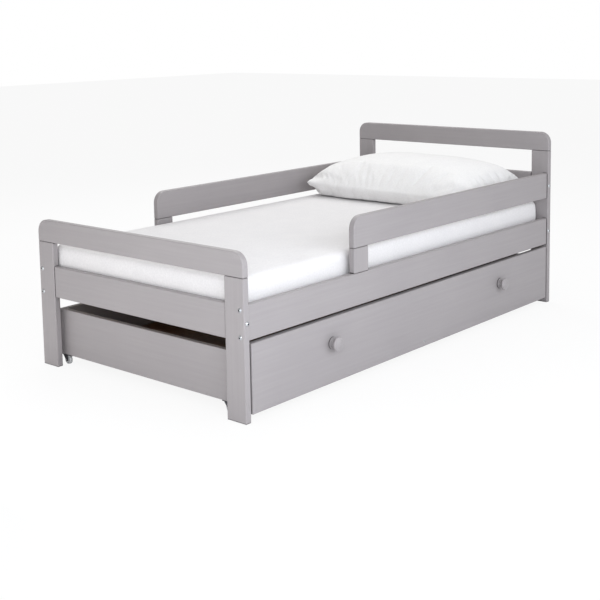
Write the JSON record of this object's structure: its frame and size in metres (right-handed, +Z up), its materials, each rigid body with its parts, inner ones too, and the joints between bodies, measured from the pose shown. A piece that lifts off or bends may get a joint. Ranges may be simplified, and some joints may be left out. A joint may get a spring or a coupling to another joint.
{
  "type": "toddler bed",
  "caption": "Low painted wooden toddler bed with rounded end boards, half-length guard boards, mattress, pillow and a full-length under-bed drawer on castors.",
  "frame": {"origin": "on the floor, in the middle of the box round the bed with its drawer shut", "axes": "+X from the foot to the head, -Y towards the drawer's side, +Z up"},
  "size_m": [1.4514, 0.7997, 0.56],
  "materials": {
    "painted_wood": "satin grey paint",
    "bare_pine": "planed, unfinished",
    "hardboard": "smooth pressed face",
    "zinc_steel": "bright zinc plate",
    "fitted_sheet": "plain woven cotton",
    "pillow_case": "plain woven cotton",
    "castor_metal": "dark painted pressing",
    "wheel_plastic": "moulded, slightly clear"
  },
  "bodies": {
    "bed_frame": {"foot_post_front": "painted_wood", "foot_post_back": "painted_wood", "foot_top_board": "painted_wood", "foot_lower_rail": "painted_wood", "head_post_front": "painted_wood", "head_post_back": "painted_wood", "head_top_board": "painted_wood", "head_mid_rail": "painted_wood", "head_lower_rail": "painted_wood", "side_rail_front": "painted_wood", "side_rail_back": "painted_wood", "guard_board_front": "painted_wood", "guard_board_back": "painted_wood", "guard_post_front": "painted_wood", "guard_post_back": "painted_wood", "slat_bearer_front": "bare_pine", "slat_bearer_back": "bare_pine", "slat_1": "bare_pine", "slat_2": "bare_pine", "slat_3": "bare_pine", "slat_4": "bare_pine", "slat_5": "bare_pine", "slat_6": "bare_pine", "slat_7": "bare_pine", "slat_8": "bare_pine", "slat_9": "bare_pine", "slat_10": "bare_pine", "slat_11": "bare_pine", "slat_12": "bare_pine", "frame_dowels": "bare_pine", "connector_bolts": "zinc_steel", "barrel_nuts": "zinc_steel", "slat_screws": "zinc_steel", "bearer_screws": "zinc_steel"},
    "mattress": {"mattress": "fitted_sheet"},
    "pillow": {"pillow": "pillow_case"},
    "drawer": {"drawer_front": "painted_wood", "drawer_back": "painted_wood", "drawer_side_foot": "painted_wood", "drawer_side_head": "painted_wood", "drawer_centre_rail": "painted_wood", "knob_foot": "painted_wood", "knob_head": "painted_wood", "drawer_base_foot": "hardboard", "drawer_base_head": "hardboard", "knob_screws": "zinc_steel", "drawer_fixings": "zinc_steel", "drawer_screws": "zinc_steel", "castor_axles": "zinc_steel", "castor_screws": "zinc_steel", "castor_bracket_foot_front": "castor_metal", "castor_bracket_foot_back": "castor_metal", "castor_bracket_head_front": "castor_metal", "castor_bracket_head_back": "castor_metal"},
    "wheel_foot_front": {"castor_wheel_foot_front": "wheel_plastic"},
    "wheel_foot_back": {"castor_wheel_foot_back": "wheel_plastic"},
    "wheel_head_front": {"castor_wheel_head_front": "wheel_plastic"},
    "wheel_head_back": {"castor_wheel_head_back": "wheel_plastic"}
  },
  "joints": [
    {"name": "drawer_slide", "type": "slide", "parent": "bed_frame", "child": "drawer", "axis": [0, -1, 0], "range_m": [0, 0.6]},
    {"name": "mattress_lift", "type": "slide", "parent": "bed_frame", "child": "mattress", "axis": [0, 0, 1], "range_m": [0, 0.25]},
    {"name": "pillow_lift", "type": "slide", "parent": "mattress", "child": "pillow", "axis": [0, 0, 1], "range_m": [0, 0.15]},
    {"name": "wheel_foot_front_roll", "type": "hinge", "parent": "drawer", "child": "wheel_foot_front", "pos_m": [-0.6825, -0.285, 0.0125], "axis": [1, 0, 0], "continuous": true},
    {"name": "wheel_foot_back_roll", "type": "hinge", "parent": "drawer", "child": "wheel_foot_back", "pos_m": [-0.6825, 0.339, 0.0125], "axis": [1, 0, 0], "continuous": true},
    {"name": "wheel_head_front_roll", "type": "hinge", "parent": "drawer", "child": "wheel_head_front", "pos_m": [0.6825, -0.285, 0.0125], "axis": [1, 0, 0], "continuous": true},
    {"name": "wheel_head_back_roll", "type": "hinge", "parent": "drawer", "child": "wheel_head_back", "pos_m": [0.6825, 0.339, 0.0125], "axis": [1, 0, 0], "continuous": true}
  ],
  "couplings": [
    {"joint": "wheel_foot_front_roll", "follows": "drawer_slide", "rad_per_m": 80},
    {"joint": "wheel_foot_back_roll", "follows": "drawer_slide", "rad_per_m": 80},
    {"joint": "wheel_head_front_roll", "follows": "drawer_slide", "rad_per_m": 80},
    {"joint": "wheel_head_back_roll", "follows": "drawer_slide", "rad_per_m": 80}
  ]
}
